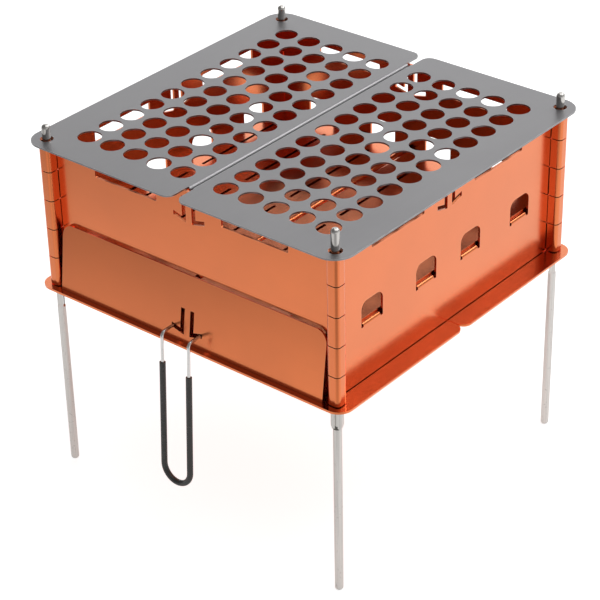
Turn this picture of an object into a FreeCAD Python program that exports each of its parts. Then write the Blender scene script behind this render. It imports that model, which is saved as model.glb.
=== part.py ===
"""Flat-pack fire-box grill: four sheet walls with rolled hinge knuckles, four rods that are hinge pins
and legs, a split base plate, a split perforated cooking plate, a split fire grate, an ash drawer and its
wire handle.

Frame: X along the drawer face, Y into the box, Z up. The origin is on the ground, midway between the
four rods.
"""
import FreeCAD
import Part
import Sketcher
import math
import os

# name, millimetres (or a count, or degrees), what it is
SIZES = [
    ("pin_spacing_x", 250.0, "rod to rod along the drawer face"),
    ("pin_spacing_y", 250.0, "rod to rod into the box"),
    ("rod_dia", 6.0, "rod, which is hinge pin, locating pin and leg"),
    ("leg_length", 150.0, "ground to the underside of the base plate"),
    ("pin_standout", 11.0, "rod above the cooking plate"),
    ("front_right_extra", 5.0, "extra stand-out of the front right rod"),
    ("pin_dome", 2.6, "rounding of the rod's top"),
    ("tip_round", 2.2, "rounding of the rod's foot"),
    ("ear_width", 7.8, "across the pinched ears that carry the base plate"),
    ("ear_thickness", 4.0, "through the ears"),
    ("ear_length", 17.5, "ears along the rod"),
    ("ear_taper", 3.0, "run-out at the lower end of the ears"),
    ("groove_width", 2.0, "pressed groove down the middle of the ears"),
    ("groove_depth", 1.1, "depth of the groove in each face"),
    ("front_left_turn", 125.0, "degrees that the front left rod's groove is turned to the right"),
    ("front_right_turn", 15.0, "the same for the front right rod"),
    ("back_left_turn", 35.0, "the same for the back left rod"),
    ("back_right_turn", 125.0, "the same for the back right rod"),
    ("wall_sheet", 1.6, "thickness of the walls"),
    ("wall_height", 112.0, "height of the walls"),
    ("wall_foot_gap", 0.6, "base plate to the lower edge of a panel"),
    ("knuckle_count", 5.0, "knuckles in one corner's barrel"),
    ("knuckle_clearance", 0.3, "rod to the flats inside a knuckle"),
    ("knuckle_bend", 1.4, "inside bend radius at a knuckle's corners"),
    ("knuckle_gap", 0.7, "below each knuckle, along the rod"),
    ("notch_clearance", 0.5, "panel edge to the neighbour's barrel"),
    ("roll_gap", 0.5, "rolled end of a knuckle to its own panel"),
    ("vent_width", 22.6, "width of a vent"),
    ("vent_height", 16.5, "height of a vent above its lip"),
    ("vent_corner", 6.0, "rounding of a vent's upper corners"),
    ("vent_sill", 43.0, "top of a vent's lip above the base plate"),
    ("vent_inner", 25.2, "centre of an inner vent from the middle of the wall"),
    ("vent_outer", 83.8, "centre of an outer vent from the middle of the wall"),
    ("lip_depth", 11.0, "grate lip, inwards from the wall"),
    ("lip_side_gap", 2.4, "vent's side to the lip's end"),
    ("lip_bend", 0.6, "inside bend radius of the lip"),
    ("lip_relief", 2.4, "top of the lip to the foot of the relief beside it"),
    ("top_slot_inner", 28.2, "near end of a top slot from the middle of the wall"),
    ("top_slot_length", 56.0, "length of a top slot"),
    ("top_slot_height", 9.0, "height of a top slot"),
    ("top_slot_drop", 7.6, "wall's top edge to the top slot"),
    ("top_slot_corner", 1.0, "corner rounding of a top slot"),
    ("hook_width", 3.4, "width of a handle slot"),
    ("hook_inner", 2.5, "inner edge of a handle slot from the middle"),
    ("hook_reach", 13.6, "end of its foot from the middle"),
    ("hook_height", 19.5, "height of its upright"),
    ("hook_rise", 2.7, "rise of its foot towards the end"),
    ("hook_drop", 4.5, "wall's top edge to the handle slot"),
    ("post_width", 4.0, "front wall's strip beside the drawer opening"),
    ("opening_height", 51.5, "height of the drawer opening"),
    ("opening_corner", 9.0, "rounding of the opening's upper corners"),
    ("base_sheet", 1.6, "thickness of the base plate"),
    ("base_overhang", 10.0, "base plate beyond the rod centres, front and back"),
    ("base_side_overhang", 11.5, "base plate beyond the rod centres at the sides"),
    ("base_corner", 11.0, "rounding of the base plate's outer corners"),
    ("base_seam_corner", 7.0, "rounding of its corners at the seam"),
    ("base_hole_clearance", 0.4, "rod to its hole in the base plate"),
    ("seam_gap", 0.8, "between the two halves of a plate"),
    ("grill_sheet", 1.2, "thickness of the cooking plate"),
    ("grill_overhang", 12.0, "cooking plate beyond the rod centres"),
    ("grill_corner", 15.0, "rounding of its outer corners"),
    ("grill_seam_corner", 7.0, "rounding of its corners at the seam"),
    ("grill_hole_clearance", 1.75, "rod to its hole in the cooking plate"),
    ("grill_hole_dia", 17.0, "hole of the cooking surface"),
    ("grill_pitch_x", 21.3, "hole pitch along X"),
    ("grill_pitch_y", 21.0, "hole pitch along Y"),
    ("grill_columns", 5.0, "columns of holes in one half"),
    ("grill_rows", 11.0, "rows of holes in one half"),
    ("grill_first_column", 18.7, "seam to the first column of holes"),
    ("grill_bend", 1.0, "inside bend radius of the folded seam edge"),
    ("grill_fold_depth", 6.5, "depth of the folded seam edge"),
    ("grill_fold_inset", 19.0, "plate's end to the end of the fold"),
    ("grate_sheet", 1.6, "thickness of the fire grate"),
    ("grate_clearance", 1.5, "fire grate to the walls"),
    ("grate_corner", 5.0, "corner rounding of the fire grate"),
    ("grate_bend", 1.0, "inside bend radius of the grate's folded seam edge"),
    ("grate_fold_depth", 3.8, "depth of the grate's folded seam edge"),
    ("grate_fold_inset", 6.0, "grate's end to the end of its fold"),
    ("grate_slot_width", 2.4, "width of a grate slot"),
    ("grate_slot_length", 92.0, "length of a grate slot"),
    ("grate_slot_pitch", 41.5, "pitch of the slots along X"),
    ("grate_slot_bridge", 16.0, "web between the two rows of slots"),
    ("grate_first_slot", 22.5, "seam to the first slot"),
    ("grate_slot_columns", 3.0, "slots in one row of one half"),
    ("drawer_sheet", 1.5, "thickness of the ash drawer"),
    ("drawer_setback", 4.4, "base plate's front edge to the foot of the drawer front"),
    ("drawer_lean", 7.3, "degrees that the drawer front leans inwards"),
    ("drawer_overlap", 1.4, "drawer front beyond the opening at each side"),
    ("drawer_top_gap", 1.0, "top of the opening to the drawer front"),
    ("drawer_corner", 9.0, "rounding of the drawer front's upper corners"),
    ("drawer_side_clearance", 2.5, "tray to the sides of the opening"),
    ("drawer_rear_clearance", 1.5, "tray to the back wall"),
    ("drawer_side_setback", 3.0, "front wall's inner face to the tray's sides"),
    ("drawer_side_height", 16.0, "height of the tray's sides"),
    ("drawer_hook_sill", 5.6, "foot of the drawer front to the handle slot"),
    ("tab_width", 16.0, "locating tab on the drawer front's top edge"),
    ("tab_offset", 77.0, "centre of a tab from the middle"),
    ("tab_depth", 4.0, "tab, inwards from the drawer front's outer face"),
    ("wire_dia", 2.4, "handle wire"),
    ("handle_reach", 11.6, "drawer front to the hanging legs of the handle"),
    ("handle_drop", 115.0, "handle slot to the bottom of the loop"),
    ("handle_lean", 3.0, "degrees that the legs hang outwards"),
    ("handle_bend", 4.0, "bend radius where the wire turns down"),
    ("handle_hook", 8.0, "height of the wire's hooked end"),
    ("handle_hook_bend", 1.8, "bend radius of the hooked end"),
    ("handle_hook_clearance", 0.3, "hooked end to the inside of the drawer front"),
    ("sleeve_dia", 4.4, "sleeve on the wire"),
    ("sleeve_start", 23.0, "handle slot to the upper end of the sleeve"),
    ("sleeve_slip", 3.0, "how much lower the sleeve ends on the right leg"),
]


class Size:
    """A number together with the sheet expression that gives it."""

    def __init__(self, value, text):
        self.value = value
        self.text = text

    def __add__(self, other):
        other = as_size(other)
        return Size(self.value + other.value, "(%s + %s)" % (self.text, other.text))

    def __sub__(self, other):
        other = as_size(other)
        return Size(self.value - other.value, "(%s - %s)" % (self.text, other.text))

    def __mul__(self, other):
        other = as_size(other)
        return Size(self.value * other.value, "(%s * %s)" % (self.text, other.text))

    def __truediv__(self, other):
        other = as_size(other)
        return Size(self.value / other.value, "(%s / %s)" % (self.text, other.text))

    def __neg__(self):
        return self * -1


def as_size(item):
    return item if isinstance(item, Size) else Size(float(item), "%g" % item)


def tangent_of(angle):
    return Size(math.tan(math.radians(angle.value)), "tan(%s * 1 deg)" % angle.text)


class SizeSheet:
    """Writes the size table into a spreadsheet and hands out its cells by name."""

    def __init__(self, doc):
        self.sheet = doc.addObject("Spreadsheet::Sheet", "Sizes")
        for row, (name, value, meaning) in enumerate(SIZES, start=1):
            self.sheet.set("A%d" % row, meaning)
            self.sheet.set("B%d" % row, repr(value))
            self.sheet.setAlias("B%d" % row, name)
        doc.recompute()

    def __getattr__(self, name):
        return Size(float(self.sheet.get(name)), "Sizes." + name)


def bind(item, prop, size):
    item.setExpression(prop, as_size(size).text)


def origin_feature(body, role):
    return next(feature for feature in body.Origin.OriginFeatures if feature.Role == role)


def new_body(doc, label):
    body = doc.addObject("PartDesign::Body", label)
    body.Label = label
    return body


def new_sketch(body, plane, name, offset=0, along_y=0, tilt=None):
    """Sketch on an origin plane, moved along its normal and its own y, then tilted about its own x."""
    sketch = body.newObject("Sketcher::SketchObject", name)
    sketch.AttachmentSupport = [(origin_feature(body, plane), "")]
    sketch.MapMode = "FlatFace"
    shift = FreeCAD.Vector(0, as_size(along_y).value, as_size(offset).value)
    turn = FreeCAD.Rotation(FreeCAD.Vector(1, 0, 0), tilt.value if tilt else 0)
    sketch.AttachmentOffset = FreeCAD.Placement(shift, turn)
    bind(sketch, "AttachmentOffset.Base.y", along_y)
    bind(sketch, "AttachmentOffset.Base.z", offset)
    if tilt:
        bind(sketch, "AttachmentOffset.Rotation.Angle", tilt)
    return sketch


def dimension(sketch, kind, where, size):
    """Adds one dimensional constraint and ties it to the sheet."""
    size = as_size(size)
    index = sketch.addConstraint(Sketcher.Constraint(kind, *where, size.value))
    name = "%s_%d" % (kind.lower(), index)
    sketch.renameConstraint(index, name)
    if "Sizes." in size.text:
        bind(sketch, "Constraints." + name, size)


def fix_point(sketch, geometry, vertex, x, y):
    dimension(sketch, "DistanceX", (-1, 1, geometry, vertex), x)
    dimension(sketch, "DistanceY", (-1, 1, geometry, vertex), y)


def coincident(sketch, first, second):
    sketch.addConstraint(Sketcher.Constraint("Coincident", *first, *second))


def step_sign(start, end):
    """Unit direction of an axis-parallel edge, as signs along x and y."""
    dx = end[0].value - start[0].value
    dy = end[1].value - start[1].value
    return (math.copysign(1, dx), 0) if abs(dx) > abs(dy) else (0, math.copysign(1, dy))


def draw_outline(sketch, corners):
    """Closed outline through corners (x, y) or (x, y, radius); rounded corners join axis-parallel edges."""
    corners = [tuple(as_size(item) for item in corner) for corner in corners]
    count = len(corners)
    entries = []
    for index, corner in enumerate(corners):
        if len(corner) == 2:
            entries.append((corner, corner, None))
            continue
        x, y, radius = corner
        inward = step_sign(corners[index - 1], corner)
        outward = step_sign(corner, corners[(index + 1) % count])
        arrive = (x - radius * inward[0], y - radius * inward[1])
        leave = (x + radius * outward[0], y + radius * outward[1])
        entries.append((arrive, leave, (radius, inward, outward)))
    lines = []
    for index in range(count):
        start = entries[index][1]
        end = entries[(index + 1) % count][0]
        ends = [FreeCAD.Vector(point[0].value, point[1].value, 0) for point in (start, end)]
        lines.append(sketch.addGeometry(Part.LineSegment(*ends), False))
        fix_point(sketch, lines[-1], 1, *start)
    for index in range(count):
        arrive, leave, rounding = entries[index]
        before, after = lines[index - 1], lines[index]
        if rounding is None:
            coincident(sketch, (before, 2), (after, 1))
            continue
        fix_point(sketch, before, 2, *arrive)
        radius, inward, outward = rounding
        centre = FreeCAD.Vector(arrive[0].value + radius.value * outward[0],
                                arrive[1].value + radius.value * outward[1], 0)
        left_turn = inward[0] * outward[1] - inward[1] * outward[0] > 0
        first, last = (arrive, leave) if left_turn else (leave, arrive)
        angles = [math.atan2(point[1].value - centre.y, point[0].value - centre.x) for point in (first, last)]
        circle = Part.Circle(centre, FreeCAD.Vector(0, 0, 1), radius.value)
        arc = sketch.addGeometry(Part.ArcOfCircle(circle, angles[0], angles[1]), False)
        coincident(sketch, (arc, 1 if left_turn else 2), (before, 2))
        coincident(sketch, (arc, 2 if left_turn else 1), (after, 1))
        dimension(sketch, "Radius", (arc,), radius)


def draw_circle(sketch, x, y, radius):
    x, y, radius = as_size(x), as_size(y), as_size(radius)
    centre = FreeCAD.Vector(x.value, y.value, 0)
    circle = sketch.addGeometry(Part.Circle(centre, FreeCAD.Vector(0, 0, 1), radius.value), False)
    fix_point(sketch, circle, 3, x, y)
    dimension(sketch, "Radius", (circle,), radius)


def draw_slot(sketch, start, end, width):
    """Slot with round ends between two centres, in any direction."""
    start = tuple(as_size(item) for item in start)
    end = tuple(as_size(item) for item in end)
    radius = width / 2
    heading = math.atan2(end[1].value - start[1].value, end[0].value - start[0].value)
    normal = FreeCAD.Vector(0, 0, 1)
    side = FreeCAD.Vector(-math.sin(heading), math.cos(heading), 0) * radius.value
    centres = [FreeCAD.Vector(point[0].value, point[1].value, 0) for point in (start, end)]
    quarter = math.pi / 2
    near = sketch.addGeometry(Part.ArcOfCircle(Part.Circle(centres[0], normal, radius.value),
                                               heading + quarter, heading + 3 * quarter), False)
    far = sketch.addGeometry(Part.ArcOfCircle(Part.Circle(centres[1], normal, radius.value),
                                              heading - quarter, heading + quarter), False)
    right = sketch.addGeometry(Part.LineSegment(centres[0] - side, centres[1] - side), False)
    left = sketch.addGeometry(Part.LineSegment(centres[1] + side, centres[0] + side), False)
    for first, second in (((near, 2), (right, 1)), ((right, 2), (far, 1)),
                          ((far, 2), (left, 1)), ((left, 2), (near, 1))):
        sketch.addConstraint(Sketcher.Constraint("Tangent", *first, *second))
    sketch.addConstraint(Sketcher.Constraint("Equal", near, far))
    fix_point(sketch, near, 3, *start)
    fix_point(sketch, far, 3, *end)
    dimension(sketch, "Radius", (near,), radius)


def pad(body, sketch, name, length, inward=False, symmetric=False):
    feature = body.newObject("PartDesign::Pad", name)
    feature.Profile = sketch
    bind(feature, "Length", length)
    feature.Reversed = inward
    if symmetric:
        feature.SideType = "Symmetric"
    return feature


def cut(body, sketch, name, depth=None):
    """Pocket to both sides of its sketch: right through, or over a stated depth in all."""
    feature = body.newObject("PartDesign::Pocket", name)
    feature.Profile = sketch
    feature.SideType = "Symmetric"
    if depth is None:
        feature.Type = "ThroughAll"
    else:
        bind(feature, "Length", depth)
    return feature


def repeat(body, original, name, *runs):
    """Linear pattern along one or two origin axes; each run is (axis role, spacing, count, backwards)."""
    pattern = body.newObject("PartDesign::LinearPattern", name)
    pattern.Originals = [original]
    for suffix, (axis, spacing, count, backwards) in zip(("", "2"), runs):
        setattr(pattern, "Direction" + suffix, (origin_feature(body, axis), [""]))
        setattr(pattern, "Mode" + suffix, "Extent")
        setattr(pattern, "Reversed" + suffix, backwards)
        bind(pattern, "Length" + suffix, spacing * (as_size(count) - 1))
        bind(pattern, "Occurrences" + suffix, count)
    body.Tip = pattern
    return pattern


def levels(size):
    """Heights that the pieces share: base plate's top, wall's top, cooking plate's top."""
    base_top = size.leg_length + size.base_sheet
    wall_top = base_top + size.wall_height
    return base_top, wall_top, wall_top + size.grill_sheet


def knuckle_half(size):
    """Rod's centre to the outside of a knuckle, which is also its distance to a panel's inner face."""
    return size.rod_dia / 2 + size.knuckle_clearance + size.wall_sheet


def opening_half(size):
    """Half the width of the drawer opening in the front wall."""
    panel_edge = size.pin_spacing_x / 2 - knuckle_half(size) - size.notch_clearance
    return panel_edge - size.post_width


def draw_knuckle(sketch, size, side, half, reach, edge):
    """Section of one knuckle: strip from the panel's edge, then four-square round the rod to a narrow gap."""
    sheet, bend = size.wall_sheet, size.knuckle_bend
    outer = bend + sheet
    box = knuckle_half(size)
    near, far = half - box, half + box
    front, back = -(reach + box), box - reach
    end = back - sheet - size.roll_gap
    draw_outline(sketch, [(corner[0] * side,) + corner[1:] for corner in (
        (edge, back), (far, back, outer), (far, front, outer), (near, front, outer), (near, end),
        (near + sheet, end), (near + sheet, front + sheet, bend), (far - sheet, front + sheet, bend),
        (far - sheet, back - sheet, bend), (edge, back - sheet))])


def add_knuckles(body, size, side, half, reach, edge, first, count):
    """Every second knuckle of one corner's barrel, from the given place up."""
    base_top = levels(size)[0]
    pitch = size.wall_height / size.knuckle_count
    name = "right" if side > 0 else "left"
    start = base_top + pitch * first + size.knuckle_gap
    sketch = new_sketch(body, "XY_Plane", name + "_knuckle_section", start)
    draw_knuckle(sketch, size, side, half, reach, edge)
    knuckle = pad(body, sketch, name + "_knuckle", pitch - size.knuckle_gap)
    repeat(body, knuckle, name + "_knuckles", ("Z_Axis", pitch * 2, count, False))


def foot_centre(size):
    """Seat of the handle wire in a handle slot: from the middle, and above the slot's lowest corner."""
    across = size.hook_reach - size.hook_width / 2
    share = (across - size.hook_inner) / (size.hook_reach - size.hook_inner)
    return across, size.hook_rise * share + size.hook_width / 2


def cut_hook_slots(body, size, plane, low, depth=None):
    """Mirrored pair of handle slots: an upright with a foot that rises outwards."""
    sketch = new_sketch(body, "XZ_Plane", "hook_slots", **plane)
    outer = size.hook_inner + size.hook_width
    share = size.hook_width / (size.hook_reach - size.hook_inner)
    high = low + size.hook_height
    for side in (-1, 1):
        draw_outline(sketch, [(x * side, y) for x, y in (
            (size.hook_inner, low), (size.hook_reach, low + size.hook_rise),
            (size.hook_reach, low + size.hook_rise + size.hook_width),
            (outer, low + size.hook_rise * share + size.hook_width), (outer, high), (size.hook_inner, high))])
    cut(body, sketch, "hook_slot_cut", depth)


def add_vents(body, size, plane, inner_face):
    """Four vents, each with the strip below it bent inwards as a lip between two reliefs."""
    sill = levels(size)[0] + size.vent_sill
    fold = size.lip_bend + size.wall_sheet
    vents = new_sketch(body, "XZ_Plane", "vents", **plane)
    for centre in [place * side for place in (size.vent_inner, size.vent_outer) for side in (-1, 1)]:
        left, right = centre - size.vent_width / 2, centre + size.vent_width / 2
        head, foot, relief = sill + size.vent_height, sill - fold, sill - size.lip_relief
        near, far = left + size.lip_side_gap, right - size.lip_side_gap
        upper = [(x, head, size.vent_corner) for x in (right, left)]
        draw_outline(vents, [(left, relief), (near, relief), (near, foot), (far, foot), (far, relief),
                             (right, relief)] + upper)
    cut(body, vents, "vent_cut")

    outside, inside = -(inner_face + size.wall_sheet), -inner_face
    under, root, end = sill - size.wall_sheet, sill - fold - size.wall_sheet, inside + size.lip_depth
    for name, place in (("inner", size.vent_inner), ("outer", size.vent_outer)):
        section = new_sketch(body, "YZ_Plane", name + "_lip_section", -place)
        draw_outline(section, [(outside, root), (outside, sill, fold), (end, sill), (end, under),
                               (inside, under, size.lip_bend), (inside, root)])
        lip = pad(body, section, name + "_lip", size.vent_width - size.lip_side_gap * 2, symmetric=True)
        repeat(body, lip, name + "_lips", ("X_Axis", place * 2, 2, False))


def make_wall(doc, size, label, run, reach, quarter_turns, has_opening):
    """One wall, drawn as the front wall and turned into place about the box's middle."""
    body = new_body(doc, label)
    base_top, wall_top, _ = levels(size)
    half = run / 2
    inner_face = reach - knuckle_half(size)
    edge = half - knuckle_half(size) - size.notch_clearance
    plane = {"offset": inner_face}

    panel = new_sketch(body, "XZ_Plane", "panel_outline", **plane)
    foot = base_top + size.wall_foot_gap
    feet = [(-edge, foot), (edge, foot)]
    if has_opening:
        jamb = edge - size.post_width
        head = base_top + size.opening_height
        feet[1:1] = [(-jamb, foot), (-jamb, head, size.opening_corner),
                     (jamb, head, size.opening_corner), (jamb, foot)]
    draw_outline(panel, feet + [(edge, wall_top), (-edge, wall_top)])
    pad(body, panel, "panel", size.wall_sheet)

    slots = new_sketch(body, "XZ_Plane", "top_slots", **plane)
    slot_top = wall_top - size.top_slot_drop
    for side in (-1, 1):
        near = size.top_slot_inner * side
        far = (size.top_slot_inner + size.top_slot_length) * side
        low = slot_top - size.top_slot_height
        draw_outline(slots, [(x, y, size.top_slot_corner) for x, y in
                             ((near, low), (far, low), (far, slot_top), (near, slot_top))])
    cut(body, slots, "top_slot_cut")
    cut_hook_slots(body, size, plane, wall_top - size.hook_drop - size.hook_height)

    if not has_opening:
        add_vents(body, size, plane, inner_face)

    odd = Size(math.ceil(size.knuckle_count.value / 2), "ceil(%s / 2)" % size.knuckle_count.text)
    add_knuckles(body, size, 1, half, reach, edge, 0, odd)
    add_knuckles(body, size, -1, half, reach, edge, 1, size.knuckle_count - odd)
    turn = FreeCAD.Rotation(FreeCAD.Vector(0, 0, 1), 90 * quarter_turns)
    body.Placement = FreeCAD.Placement(FreeCAD.Vector(), turn)
    return body


def make_base_plate(doc, size, label, side):
    """Half of the base plate; side is -1 at the front and +1 at the back."""
    body = new_body(doc, label)
    sketch = new_sketch(body, "XY_Plane", "outline", size.leg_length)
    half = size.pin_spacing_x / 2 + size.base_side_overhang
    far = (size.pin_spacing_y / 2 + size.base_overhang) * side
    seam = size.seam_gap / 2 * side
    draw_outline(sketch, [(-half, far, size.base_corner), (half, far, size.base_corner),
                          (half, seam, size.base_seam_corner), (-half, seam, size.base_seam_corner)])
    for across in (-1, 1):
        draw_circle(sketch, size.pin_spacing_x / 2 * across, size.pin_spacing_y / 2 * side,
                    size.rod_dia / 2 + size.base_hole_clearance)
    pad(body, sketch, "plate", size.base_sheet)
    return body


def add_seam_fold(body, size, side, top, half_length, sheet, bend, depth):
    """Edge of a plate folded down along the seam, from the flat part round the bend to its lower edge."""
    seam = size.seam_gap / 2 * side
    inside = seam + sheet * side
    flat = inside + (bend + sheet) * side
    section = new_sketch(body, "XZ_Plane", "fold_section")
    under = top - depth
    draw_outline(section, [(flat, top), (seam, top, bend + sheet), (seam, under), (inside, under),
                           (inside, top - sheet, bend), (flat, top - sheet)])
    pad(body, section, "fold", half_length * 2, symmetric=True)


def make_grill_plate(doc, size, label, side):
    """Half of the cooking plate with its grid of holes and the folded edge along the seam."""
    body = new_body(doc, label)
    wall_top, top = levels(size)[1:]
    seam = size.seam_gap / 2
    fold = size.grill_bend + size.grill_sheet
    far = (size.pin_spacing_x / 2 + size.grill_overhang) * side
    near = (seam + fold) * side
    long = size.pin_spacing_y / 2 + size.grill_overhang

    sketch = new_sketch(body, "XY_Plane", "outline", wall_top)
    draw_outline(sketch, [(near, -long, size.grill_seam_corner), (far, -long, size.grill_corner),
                          (far, long, size.grill_corner), (near, long, size.grill_seam_corner)])
    for across in (-1, 1):
        draw_circle(sketch, size.pin_spacing_x / 2 * side, size.pin_spacing_y / 2 * across,
                    size.rod_dia / 2 + size.grill_hole_clearance)
    pad(body, sketch, "plate", size.grill_sheet)

    add_seam_fold(body, size, side, top, long - size.grill_fold_inset,
                  size.grill_sheet, size.grill_bend, size.grill_fold_depth)

    first = new_sketch(body, "XY_Plane", "first_hole", wall_top)
    front_row = size.grill_pitch_y * (size.grill_rows - 1) / -2
    draw_circle(first, size.grill_first_column * side, front_row, size.grill_hole_dia / 2)
    hole = cut(body, first, "hole")
    repeat(body, hole, "holes", ("X_Axis", size.grill_pitch_x, size.grill_columns, side < 0),
           ("Y_Axis", size.grill_pitch_y, size.grill_rows, False))
    return body


def make_fire_grate(doc, size, label, side):
    """Half of the slotted grate that lies on the walls' lips, with a shallow fold along the seam."""
    body = new_body(doc, label)
    level = levels(size)[0] + size.vent_sill
    gap = knuckle_half(size) + size.grate_clearance
    seam = size.seam_gap / 2
    near = (seam + size.grate_bend + size.grate_sheet) * side
    far = (size.pin_spacing_x / 2 - gap) * side
    long = size.pin_spacing_y / 2 - gap
    sketch = new_sketch(body, "XY_Plane", "outline", level)
    draw_outline(sketch, [(near, -long), (far, -long, size.grate_corner),
                          (far, long, size.grate_corner), (near, long)])
    pad(body, sketch, "plate", size.grate_sheet)
    add_seam_fold(body, size, side, level + size.grate_sheet, long - size.grate_fold_inset,
                  size.grate_sheet, size.grate_bend, size.grate_fold_depth)

    first = new_sketch(body, "XY_Plane", "first_slot", level)
    place = size.grate_first_slot * side
    rounding = size.grate_slot_width / 2
    front = -(size.grate_slot_bridge / 2 + size.grate_slot_length)
    draw_slot(first, (place, front + rounding), (place, front + size.grate_slot_length - rounding),
              size.grate_slot_width)
    slot = cut(body, first, "slot")
    repeat(body, slot, "slots", ("X_Axis", size.grate_slot_pitch, size.grate_slot_columns, side < 0),
           ("Y_Axis", size.grate_slot_length + size.grate_slot_bridge, 2, False))
    return body


def make_rod(doc, size, label, across, along, turn, extra):
    """Hinge pin, locating pin and leg in one rod, pinched by a groove into two ears under the base plate."""
    body = new_body(doc, label)
    radius = size.rod_dia / 2
    length = levels(size)[2] + size.pin_standout + extra
    profile = new_sketch(body, "XZ_Plane", "half_section")
    draw_outline(profile, [(0, 0), (radius, 0, size.tip_round), (radius, length, size.pin_dome), (0, length)])
    shaft = body.newObject("PartDesign::Revolution", "shaft")
    shaft.Profile = profile
    shaft.ReferenceAxis = (profile, ["V_Axis"])
    shaft.Angle = 360

    wide = size.ear_width / 2
    shoulder = size.leg_length
    low = shoulder - size.ear_length
    flats = new_sketch(body, "YZ_Plane", "pinched_flats")
    for face in (-1, 1):
        flat, clear = size.ear_thickness / 2 * face, size.rod_dia * face
        draw_outline(flats, [(flat, low), (clear, low), (clear, shoulder), (flat, shoulder)])
    cut(body, flats, "pinch")
    ears = new_sketch(body, "XZ_Plane", "ear_outline")
    draw_outline(ears, [(-wide, shoulder), (-wide, low + size.ear_taper), (-radius, low),
                        (radius, low), (wide, low + size.ear_taper), (wide, shoulder)])
    pad(body, ears, "ears", size.ear_thickness, symmetric=True)
    grooves = new_sketch(body, "XY_Plane", "groove_section", low)
    reach = size.groove_width / 2
    for face in (-1, 1):
        bottom, clear = (size.ear_thickness / 2 - size.groove_depth) * face, size.rod_dia * face
        draw_outline(grooves, [(-reach, bottom), (reach, bottom), (reach, clear), (-reach, clear)])
    groove = body.newObject("PartDesign::Pocket", "groove")
    groove.Profile = grooves
    groove.Reversed = True
    bind(groove, "Length", size.ear_length)
    upright = FreeCAD.Vector(0, 0, 1)
    body.Placement = FreeCAD.Placement(FreeCAD.Vector(), FreeCAD.Rotation(upright, turn.value))
    bind(body, "Placement.Rotation.Angle", turn)
    bind(body, "Placement.Base.x", size.pin_spacing_x / 2 * across)
    bind(body, "Placement.Base.y", size.pin_spacing_y / 2 * along)
    return body


def make_drawer(doc, size, label):
    """Ash drawer: a flat tray with low sides and a leaning front that overlaps the opening."""
    body = new_body(doc, label)
    base_top = levels(size)[0]
    sheet = size.drawer_sheet
    inner_face = size.pin_spacing_y / 2 - knuckle_half(size)
    foot = size.pin_spacing_y / 2 + size.base_overhang - size.drawer_setback
    half = opening_half(size) - size.drawer_side_clearance
    rear = inner_face - size.drawer_rear_clearance

    floor = new_sketch(body, "XY_Plane", "floor_outline", base_top)
    draw_outline(floor, [(-half, sheet / 2 - foot), (half, sheet / 2 - foot), (half, rear), (-half, rear)])
    pad(body, floor, "floor", sheet)
    sides = new_sketch(body, "XY_Plane", "side_outline", base_top)
    front = size.drawer_side_setback - inner_face
    inside, back = half - sheet, rear - sheet
    draw_outline(sides, [(-half, front), (-inside, front), (-inside, back), (inside, back),
                         (inside, front), (half, front), (half, rear), (-half, rear)])
    pad(body, sides, "sides", size.drawer_side_height)

    plane = {"offset": foot, "along_y": base_top, "tilt": -size.drawer_lean}
    lift = sheet * tangent_of(size.drawer_lean)
    wide = opening_half(size) + size.drawer_overlap
    head = size.opening_height - size.drawer_top_gap
    outline = new_sketch(body, "XZ_Plane", "front_outline", **plane)
    draw_outline(outline, [(-wide, lift), (wide, lift), (wide, head, size.drawer_corner),
                           (-wide, head, size.drawer_corner)])
    pad(body, outline, "front", sheet, inward=True)
    tabs = new_sketch(body, "XZ_Plane", "tab_outline", **plane)
    for side in (-1, 1):
        near = size.tab_offset * side - size.tab_width / 2
        draw_outline(tabs, [(near, head - sheet), (near + size.tab_width, head - sheet),
                            (near + size.tab_width, head), (near, head)])
    pad(body, tabs, "tabs", size.tab_depth, inward=True)
    cut_hook_slots(body, size, plane, size.drawer_hook_sill, sheet * 4)
    return body


def bent_path(points, radii):
    """Straight runs through the points, joined by tangent arcs of the given radii at the inner points."""
    edges = []
    here = points[0]
    for index in range(1, len(points) - 1):
        before = (points[index - 1] - points[index]).normalize()
        after = (points[index + 1] - points[index]).normalize()
        half_angle = before.getAngle(after) / 2
        reach = radii[index - 1] / math.tan(half_angle)
        start = points[index] + before * reach
        end = points[index] + after * reach
        bisector = (before + after).normalize()
        middle = points[index] + bisector * (radii[index - 1] / math.sin(half_angle) - radii[index - 1])
        edges.append(Part.LineSegment(here, start).toShape())
        edges.append(Part.Arc(start, middle, end).toShape())
        here = end
    edges.append(Part.LineSegment(here, points[-1]).toShape())
    return edges


def sweep_round(edges, diameter):
    """Round bar along a path; its volume is compared with its section times its length."""
    path = Part.Wire(edges)
    start = edges[0].Vertexes[0].Point
    heading = edges[0].tangentAt(edges[0].FirstParameter)
    section = Part.Face(Part.Wire([Part.Circle(start, heading, diameter / 2).toShape()]))
    bar = path.makePipe(section)
    expected = math.pi * diameter ** 2 / 4 * path.Length
    if abs(bar.Volume / expected - 1) > 0.01:
        raise RuntimeError("swept bar has the wrong volume")
    return bar


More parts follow.
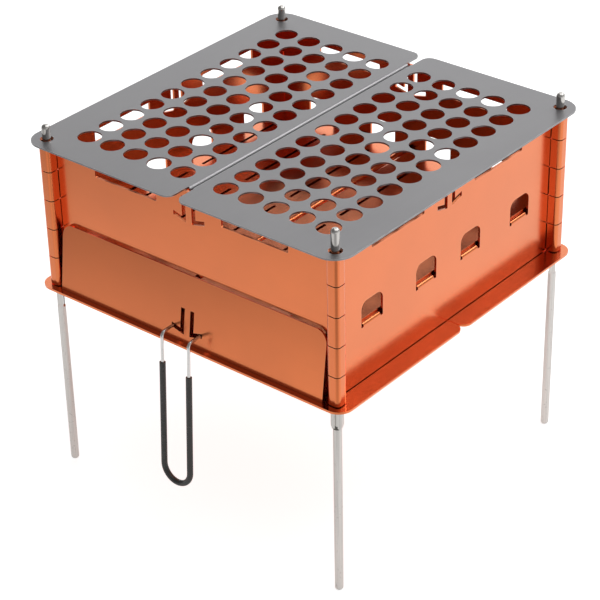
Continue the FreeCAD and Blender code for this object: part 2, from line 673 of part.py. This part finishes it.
def make_handle(doc, size, wire_label, sleeve_label):
    """Spring-wire handle, hooked through the drawer's handle slots, and the sleeve round its loop."""
    def mm(item):
        return item.value

    lean = math.radians(mm(size.drawer_lean))
    hang = math.radians(mm(size.handle_lean))
    across, above = foot_centre(size)
    spread = mm(across)
    foot = mm(size.pin_spacing_y / 2 + size.base_overhang - size.drawer_setback)
    up_front = FreeCAD.Vector(0, math.sin(lean), math.cos(lean))
    into_box = FreeCAD.Vector(0, math.cos(lean), -math.sin(lean))
    slot = FreeCAD.Vector(0, -foot, mm(levels(size)[0])) + up_front * mm(size.drawer_hook_sill + above)
    slot = slot + into_box * mm(size.drawer_sheet / 2)
    to_hook = mm(size.drawer_sheet / 2 + size.handle_hook_clearance + size.wire_dia / 2) / math.cos(lean)
    to_legs = mm(size.drawer_sheet / 2 + size.handle_reach)
    down = FreeCAD.Vector(0, -math.sin(hang), -math.cos(hang))

    def side_points(side):
        pivot = slot + FreeCAD.Vector(side * spread, 0, 0)
        heel = pivot + FreeCAD.Vector(0, to_hook, 0)
        shoulder = pivot - FreeCAD.Vector(0, to_legs, 0)
        return [heel + up_front * mm(size.handle_hook), heel, shoulder,
                shoulder + down * (mm(size.handle_drop) - spread)]

    def loop(first, last):
        return Part.Arc(first, (first + last) * 0.5 + down * spread, last).toShape()

    right, left = side_points(1), side_points(-1)
    bends = [mm(size.handle_hook_bend), mm(size.handle_bend)]
    path = bent_path(right, bends) + [loop(right[-1], left[-1])]
    path += bent_path(left[::-1], bends[::-1])
    wire = doc.addObject("Part::Feature", wire_label)
    wire.Label = wire_label
    wire.Shape = sweep_round(path, mm(size.wire_dia))
    wire.Placement = FreeCAD.Placement()

    starts = (size.sleeve_start + size.sleeve_slip, size.sleeve_start)
    collars = [points[2] + down * mm(start) for points, start in zip((right, left), starts)]
    run = [Part.LineSegment(collars[0], right[-1]).toShape(), loop(right[-1], left[-1]),
           Part.LineSegment(left[-1], collars[1]).toShape()]
    sleeve = doc.addObject("Part::Feature", sleeve_label)
    sleeve.Label = sleeve_label
    sleeve.Shape = sweep_round(run, mm(size.sleeve_dia)).cut(sweep_round(run, mm(size.wire_dia)))
    sleeve.Placement = FreeCAD.Placement()
    return [wire, sleeve]


def build():
    doc = FreeCAD.newDocument("fire_box_grill")
    size = SizeSheet(doc)
    along_x = (size.pin_spacing_x, size.pin_spacing_y / 2)
    along_y = (size.pin_spacing_y, size.pin_spacing_x / 2)
    pieces = [
        make_wall(doc, size, "front_wall", *along_x, 0, True),
        make_wall(doc, size, "right_wall", *along_y, 1, False),
        make_wall(doc, size, "back_wall", *along_x, 2, False),
        make_wall(doc, size, "left_wall", *along_y, 3, False),
        make_base_plate(doc, size, "base_plate_front", -1),
        make_base_plate(doc, size, "base_plate_back", 1),
        make_grill_plate(doc, size, "grill_plate_left", -1),
        make_grill_plate(doc, size, "grill_plate_right", 1),
        make_fire_grate(doc, size, "fire_grate_left", -1),
        make_fire_grate(doc, size, "fire_grate_right", 1),
        make_rod(doc, size, "leg_rod_front_left", -1, -1, size.front_left_turn, 0),
        make_rod(doc, size, "leg_rod_front_right", 1, -1, size.front_right_turn, size.front_right_extra),
        make_rod(doc, size, "leg_rod_back_left", -1, 1, size.back_left_turn, 0),
        make_rod(doc, size, "leg_rod_back_right", 1, 1, size.back_right_turn, 0),
        make_drawer(doc, size, "ash_drawer"),
    ]
    pieces += make_handle(doc, size, "handle_wire", "handle_sleeve")
    doc.recompute()
    return doc, pieces


def check(doc, pieces):
    """Stops before anything is written if an object failed or a piece isn't one sound solid."""
    for item in doc.Objects:
        if "Invalid" in item.State or "Error" in item.State:
            raise RuntimeError("%s failed: %s" % (item.Label, item.State))
    for piece in pieces:
        shape = piece.Shape
        if shape.isNull() or not shape.isValid() or len(shape.Solids) != 1:
            raise RuntimeError("%s isn't one valid solid" % piece.Label)


def main():
    doc, pieces = build()
    check(doc, pieces)
    os.makedirs("parts", exist_ok=True)
    for piece in pieces:
        piece.Shape.exportStep("parts/%s.step" % piece.Label)
        box = piece.Shape.BoundBox
        print("%-20s %9.1f mm3  x %.1f..%.1f  y %.1f..%.1f  z %.1f..%.1f" % (
            piece.Label, piece.Shape.Volume, box.XMin, box.XMax, box.YMin, box.YMax, box.ZMin, box.ZMax))


main()
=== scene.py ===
"""Fire-box grill: surface finishes, stage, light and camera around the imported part."""
import math

import bpy
from mathutils import Matrix, Vector

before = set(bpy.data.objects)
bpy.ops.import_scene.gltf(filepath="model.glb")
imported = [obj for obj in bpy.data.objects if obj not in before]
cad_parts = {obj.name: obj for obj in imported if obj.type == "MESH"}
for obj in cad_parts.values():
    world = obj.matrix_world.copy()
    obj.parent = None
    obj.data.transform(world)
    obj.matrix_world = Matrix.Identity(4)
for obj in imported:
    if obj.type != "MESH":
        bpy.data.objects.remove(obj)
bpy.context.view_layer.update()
scene = bpy.context.scene

# Photograph: camera angles in degrees, focal length in pixels of a 600 x 600 image, camera place in metres
IMAGE_SIDE = 600.0
VIEW_AZIMUTH = 39.878
VIEW_ELEVATION = 31.285
VIEW_ROLL = -1.243
FOCAL_PX = 2112.4
CAMERA_PLACE = (0.8280, -1.0014, 0.9124)
SENSOR_MM = 36.0

# The studio is brighter towards its back right: as light in the world, and as painted glow on the floor
BRIGHT_SIDE = (0.60, 0.80, 0.0)

# What lifts the floor to white where the camera sees it, and the painted glow that metal mirrors from it,
# rising between two distances towards the bright side in metres
FLOOR_LIFT_DIRECT = 0.78
FLOOR_SPAN = (-0.76, -0.42)
FLOOR_LIFT = (0.02, 0.43)

# Level of the studio that metal mirrors, from its dim side to its bright side, and overhead against the
# horizon; level of the studio as diffuse light
STUDIO_SIDES = (0.20, 0.62)
STUDIO_OVERHEAD = 0.5
STUDIO_DIFFUSE = 0.30

# Painted dim patch in the floor's glow, which upright round edges mirror towards the camera: its middle and
# its fade, in metres
DIM_PLACE = (0.42, -0.52, 0.0)
DIM_FADE = (0.16, 0.42)

# Half the side of the floor and the camera's far end in metres
FLOOR_HALF = 12.0
CLIP_END = 60.0

FLOOR_GREY = (0.72, 0.72, 0.72, 1.0)
WHITE = (1.0, 1.0, 1.0, 1.0)

# Softboxes: name, place and target in metres, width and height in metres, watts
SOFTBOXES = (
    ("overhead", (0.35, 0.45, 1.30), (0.30, 0.40, 0.0), (1.6, 1.6), 8.5),
    ("behind", (-1.25, 1.62, 0.85), (0.0, 0.0, 0.26), (2.6, 1.2), 7.5),
    ("rim", (0.45, 1.42, 1.45), (0.0, 0.0, 0.26), (0.8, 0.5), 4.5),
)

# Paler edges, partly rubbed wear and partly a painted edge highlight: how far they reach in metres, and how
# well the true and the rounded normal agree, from an open face to a sharp edge
COPPER_EDGE = 0.0007
STEEL_EDGE = 0.0006
EDGE_MATCH = (0.985, 0.80)

# Depth of the fine relief in metres
GRAIN_DEPTH = 0.00004
STIPPLE_DEPTH = 0.00005
DIE_LINE_DEPTH = 0.00005
PEEL_DEPTH = 0.00010

# Stretch of the noise that makes lines: rolling lines along the length of a sheet, die lines along a rod
ALONG_X = (12.0, 1500.0, 1500.0)
ALONG_Y = (1500.0, 12.0, 1500.0)
ALONG_Z = (2600.0, 2600.0, 22.0)

COAT_ROUGHNESS = 0.22
PLATE_ROUGHNESS = (0.34, 0.46)

BASE_PLATES = ("base_plate_front", "base_plate_back")
GRILL_PLATES = ("grill_plate_left", "grill_plate_right")
FIRE_GRATES = ("fire_grate_left", "fire_grate_right")
RODS = ("leg_rod_front_left", "leg_rod_front_right", "leg_rod_back_left", "leg_rod_back_right")


def linear(red, green, blue):
    """Scene-linear colour of an 8-bit sRGB one."""
    def one(value):
        share = value / 255.0
        if share <= 0.04045:
            return share / 12.92
        return ((share + 0.055) / 1.055) ** 2.4
    return (one(red), one(green), one(blue), 1.0)


def scaled(colour, share):
    """Colour made darker or lighter by a share, no channel above 1."""
    return tuple(min(1.0, channel * share) for channel in colour[:3]) + (1.0,)


class Shader:
    """The nodes of one material or world, and short calls that add to them."""

    def __init__(self, owner, output_kind="ShaderNodeOutputMaterial"):
        owner.use_nodes = True
        self.owner = owner
        self.tree = owner.node_tree
        self.tree.nodes.clear()
        self.output = self.tree.nodes.new(output_kind)

    def add(self, kind, inputs=(), **settings):
        """New node; an input is linked to if it is a socket, and set if it is a value."""
        node = self.tree.nodes.new(kind)
        for key, value in settings.items():
            setattr(node, key, value)
        for key, value in dict(inputs).items():
            if isinstance(value, bpy.types.NodeSocket):
                self.tree.links.new(value, node.inputs[key])
            else:
                node.inputs[key].default_value = value
        return node

    def place(self, stretch=(1.0, 1.0, 1.0)):
        """The part's own coordinates in metres, squeezed along each axis."""
        where = self.add("ShaderNodeTexCoord").outputs["Object"]
        return self.add("ShaderNodeMapping", {"Vector": where, "Scale": stretch}).outputs["Vector"]

    def noise(self, scale, stretch=(1.0, 1.0, 1.0), detail=3.0, roughness=0.5):
        return self.add("ShaderNodeTexNoise", {
            "Vector": self.place(stretch), "Scale": scale, "Detail": detail, "Roughness": roughness,
        }).outputs["Fac"]

    def span(self, value, low, high, to_low, to_high):
        """Value from one range to another, held at its ends."""
        return self.add("ShaderNodeMapRange", {
            "Value": value, "From Min": low, "From Max": high, "To Min": to_low, "To Max": to_high,
        }).outputs["Result"]

    def math(self, operation, first, second):
        return self.add("ShaderNodeMath", {0: first, 1: second}, operation=operation).outputs[0]

    def dot(self, first, second):
        inputs = {0: first, 1: second}
        return self.add("ShaderNodeVectorMath", inputs, operation="DOT_PRODUCT").outputs["Value"]

    def blend(self, share, first, second):
        """First colour at a share of 0, second colour at 1."""
        node = self.add("ShaderNodeMix", data_type="RGBA")
        for socket, value in ((node.inputs[0], share), (node.inputs[6], first), (node.inputs[7], second)):
            if isinstance(value, bpy.types.NodeSocket):
                self.tree.links.new(value, socket)
            else:
                socket.default_value = value
        return node.outputs[2]

    def edges(self, radius):
        """1 along sharp edges, 0 on open faces."""
        round_normal = self.add("ShaderNodeBevel", {"Radius": radius}, samples=4).outputs[0]
        normal = self.add("ShaderNodeNewGeometry").outputs["Normal"]
        return self.span(self.dot(round_normal, normal), *EDGE_MATCH, 0.0, 1.0)

    def bump(self, height, strength, distance, before=None):
        inputs = {"Height": height, "Strength": strength, "Distance": distance}
        if before is not None:
            inputs["Normal"] = before
        return self.add("ShaderNodeBump", inputs).outputs["Normal"]

    def show(self, surface):
        """Makes a node the surface."""
        self.tree.links.new(surface.outputs[0], self.output.inputs["Surface"])
        return self.owner

    def finish(self, **sockets):
        """Principled surface; a socket's name has _ for its spaces."""
        inputs = {key.replace("_", " "): value for key, value in sockets.items()}
        return self.show(self.add("ShaderNodeBsdfPrincipled", inputs))


def new_shader(name):
    return Shader(bpy.data.materials.new(name))


def copper_finish(name, colour, pale, grain_stretch):
    """Satin copper-coloured coat on rolled sheet: faint rolling lines, cloudy tone, paler edges that are
    partly wear and partly painted highlight.
    """
    shader = new_shader(name)
    clouds = shader.noise(scale=14.0, detail=4.0)
    tone = shader.blend(shader.span(clouds, 0.35, 0.65, 0.0, 1.0),
                        scaled(colour, 0.955), scaled(colour, 1.035))
    lines = shader.noise(scale=1.0, stretch=grain_stretch, detail=5.0, roughness=0.62)
    tone = shader.blend(shader.span(lines, 0.3, 0.7, 0.0, 0.05), tone, scaled(colour, 0.78))
    # Paler edges: partly rubbed wear, partly a painted edge highlight
    worn_and_lit_edges = shader.math("MULTIPLY", shader.edges(COPPER_EDGE),
                         shader.span(shader.noise(scale=160.0, detail=4.0), 0.36, 0.62, 0.05, 0.45))
    tone = shader.blend(worn_and_lit_edges, tone, pale)
    smudge = shader.noise(scale=38.0, detail=5.0, roughness=0.6)
    rough = shader.math("ADD", shader.span(smudge, 0.3, 0.7, 0.17, 0.22),
                        shader.span(lines, 0.3, 0.7, -0.01, 0.02))
    normal = shader.bump(lines, 0.03, GRAIN_DEPTH)
    normal = shader.bump(shader.noise(scale=1900.0, detail=2.0), 0.06, STIPPLE_DEPTH, normal)
    return shader.finish(Base_Color=tone, Metallic=1.0, Roughness=rough, Normal=normal,
                         Coat_Weight=1.0, Coat_Roughness=COAT_ROUGHNESS)


def brushed_finish(name, colour, pale, grain_stretch, rough_low, rough_high):
    """Brushed sheet steel: fine long scratches, slight clouding and bright edges that are partly rubbed wear
    and partly painted highlight.
    """
    shader = new_shader(name)
    fine = shader.noise(scale=1.0, stretch=grain_stretch, detail=6.0, roughness=0.7)
    clouds = shader.noise(scale=11.0, detail=4.0)
    tone = shader.blend(shader.span(fine, 0.32, 0.68, 0.0, 1.0), scaled(colour, 0.95), scaled(colour, 1.05))
    tone = shader.blend(shader.span(clouds, 0.35, 0.7, 0.0, 0.08), tone, pale)
    # Bright edges: partly rubbed wear, partly a painted edge highlight
    worn_and_lit_edges = shader.math("MULTIPLY", shader.edges(STEEL_EDGE),
                         shader.span(shader.noise(scale=140.0, detail=4.0), 0.36, 0.62, 0.2, 0.8))
    tone = shader.blend(worn_and_lit_edges, tone, pale)
    rough = shader.math("ADD", shader.span(fine, 0.3, 0.7, rough_low, rough_high),
                        shader.span(clouds, 0.3, 0.7, -0.02, 0.03))
    normal = shader.bump(fine, 0.06, GRAIN_DEPTH)
    return shader.finish(Base_Color=tone, Metallic=1.0, Roughness=rough, Normal=normal)


def drawn_finish(name, colour, dark):
    """Bright drawn bar: long die lines, small dull specks and darker patches."""
    shader = new_shader(name)
    lines = shader.noise(scale=1.0, stretch=ALONG_Z, detail=4.0, roughness=0.6)
    specks = shader.noise(scale=420.0, detail=5.0, roughness=0.7)
    tone = shader.blend(shader.span(lines, 0.3, 0.7, 0.0, 0.35), colour, dark)
    tone = shader.blend(shader.span(specks, 0.60, 0.74, 0.0, 0.5), tone, dark)
    rough = shader.math("ADD", shader.span(lines, 0.3, 0.7, 0.08, 0.14),
                        shader.span(specks, 0.55, 0.75, 0.0, 0.12))
    normal = shader.bump(lines, 0.10, DIE_LINE_DEPTH)
    return shader.finish(Base_Color=tone, Metallic=1.0, Roughness=rough, Normal=normal)


def sleeve_finish(name, colour, pale):
    """Dipped black plastic: faint orange peel, dusty high spots, soft sheen."""
    shader = new_shader(name)
    peel = shader.noise(scale=520.0, detail=3.0)
    dust = shader.noise(scale=60.0, detail=5.0, roughness=0.65)
    tone = shader.blend(shader.span(dust, 0.45, 0.75, 0.0, 0.30), colour, pale)
    rough = shader.math("ADD", shader.span(dust, 0.3, 0.7, 0.20, 0.30),
                        shader.span(peel, 0.3, 0.7, -0.03, 0.04))
    normal = shader.bump(peel, 0.05, PEEL_DEPTH)
    return shader.finish(Base_Color=tone, Roughness=rough, Normal=normal)


def wear(node_names, material):
    """Gives nodes of the part a finish."""
    for name in node_names:
        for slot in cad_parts[name].material_slots:
            slot.material = material


COPPER = linear(244, 128, 64)
COPPER_PALE = linear(246, 186, 144)
STEEL = linear(154, 153, 155)
STEEL_PALE = linear(226, 226, 226)
ROD = linear(230, 227, 223)
ROD_DARK = linear(128, 124, 118)
WIRE = linear(247, 246, 244)
WIRE_DARK = linear(176, 174, 170)
SLEEVE = linear(64, 64, 63)
SLEEVE_PALE = linear(104, 104, 102)

wear(("front_wall", "back_wall", "ash_drawer"), copper_finish("copper_along_x", COPPER, COPPER_PALE, ALONG_X))
wear(("right_wall", "left_wall"), copper_finish("copper_along_y", COPPER, COPPER_PALE, ALONG_Y))
wear(BASE_PLATES, copper_finish("copper_base", COPPER, COPPER_PALE, ALONG_X))
wear(FIRE_GRATES, copper_finish("copper_grate", COPPER, COPPER_PALE, ALONG_Y))
wear(GRILL_PLATES, brushed_finish("brushed_plate", STEEL, STEEL_PALE, ALONG_Y, *PLATE_ROUGHNESS))
wear(RODS, drawn_finish("drawn_rod", ROD, ROD_DARK))
wear(("handle_wire",), drawn_finish("drawn_wire", WIRE, WIRE_DARK))
wear(("handle_sleeve",), sleeve_finish("dipped_sleeve", SLEEVE, SLEEVE_PALE))


def ray_shares(shader):
    """Two shares: 1 for camera rays, and 1 for glossy or transmission rays."""
    path = shader.add("ShaderNodeLightPath").outputs
    return path["Is Camera Ray"], shader.math("MAXIMUM", path["Is Glossy Ray"], path["Is Transmission Ray"])


def make_floor():
    """Pale floor that reads as white and keeps the object's shadow; for mirrored rays it glows with painted
    light, brighter towards the bright side, with a painted dim patch.
    """
    mesh = bpy.data.meshes.new("floor")
    corners = [(x * FLOOR_HALF, y * FLOOR_HALF, 0.0) for x, y in ((-1, -1), (1, -1), (1, 1), (-1, 1))]
    mesh.from_pydata(corners, [], [(0, 1, 2, 3)])
    floor = bpy.data.objects.new("floor", mesh)
    scene.collection.objects.link(floor)
    shader = new_shader("white_floor")
    matt = shader.add("ShaderNodeBsdfDiffuse", {"Color": FLOOR_GREY})
    direct, mirrored = ray_shares(shader)
    # Painted light seen in reflections only: the floor's glow rises towards the bright side and fades out in
    # a painted dim patch
    where = shader.place()
    painted_glow = shader.span(shader.dot(where, BRIGHT_SIDE), *FLOOR_SPAN, *FLOOR_LIFT)
    away = shader.add("ShaderNodeVectorMath", {0: where, 1: DIM_PLACE}, operation="DISTANCE")
    painted_glow = shader.math("MULTIPLY", painted_glow, shader.span(away.outputs["Value"], *DIM_FADE, 0.0, 1.0))
    strength = shader.math("ADD", shader.math("MULTIPLY", direct, FLOOR_LIFT_DIRECT),
                           shader.math("MULTIPLY", mirrored, painted_glow))
    lift = shader.add("ShaderNodeEmission", {"Color": WHITE, "Strength": strength})
    both = shader.add("ShaderNodeAddShader", {0: matt.outputs[0], 1: lift.outputs[0]})
    mesh.materials.append(shader.show(both))


def make_world():
    """Studio around the object: white for the camera, graded for metal to mirror, weak for diffuse light."""
    studio = Shader(bpy.data.worlds.new("studio"), "ShaderNodeOutputWorld")
    heading = studio.add("ShaderNodeTexCoord").outputs["Generated"]
    height = studio.add("ShaderNodeSeparateXYZ", {0: heading}).outputs["Z"]
    shown = studio.math("MULTIPLY", studio.span(studio.dot(heading, BRIGHT_SIDE), -1.0, 1.0, *STUDIO_SIDES),
                        studio.span(height, 0.0, 1.0, 1.0, STUDIO_OVERHEAD))
    direct, mirrored = ray_shares(studio)
    strength = studio.math("MAXIMUM", direct, studio.span(mirrored, 0.0, 1.0, STUDIO_DIFFUSE, shown))
    sky = studio.add("ShaderNodeBackground", {"Color": WHITE, "Strength": strength})
    scene.world = studio.show(sky)


def make_softbox(name, place, target, size, watts):
    """Area lamp at a place, facing a target."""
    light = bpy.data.lights.new(name, "AREA")
    light.shape = "RECTANGLE"
    light.size, light.size_y = size
    light.energy = watts
    lamp = bpy.data.objects.new(name, light)
    scene.collection.objects.link(lamp)
    lamp.location = place
    lamp.rotation_euler = (Vector(target) - Vector(place)).to_track_quat("-Z", "Y").to_euler()


def make_camera():
    """Camera where the photograph was taken from, with its lens axis in the middle of the picture."""
    turn = (Matrix.Rotation(math.radians(VIEW_AZIMUTH), 4, "Z")
            @ Matrix.Rotation(math.radians(90.0 - VIEW_ELEVATION), 4, "X")
            @ Matrix.Rotation(math.radians(VIEW_ROLL), 4, "Z"))
    data = bpy.data.cameras.new("photo_camera")
    data.sensor_fit = "HORIZONTAL"
    data.sensor_width = SENSOR_MM
    data.lens = FOCAL_PX * SENSOR_MM / IMAGE_SIDE
    data.clip_end = CLIP_END
    camera = bpy.data.objects.new("photo_camera", data)
    scene.collection.objects.link(camera)
    camera.matrix_world = Matrix.Translation(CAMERA_PLACE) @ turn
    scene.camera = camera


make_floor()
make_world()
for softbox in SOFTBOXES:
    make_softbox(*softbox)
make_camera()

scene.view_settings.view_transform = "Standard"
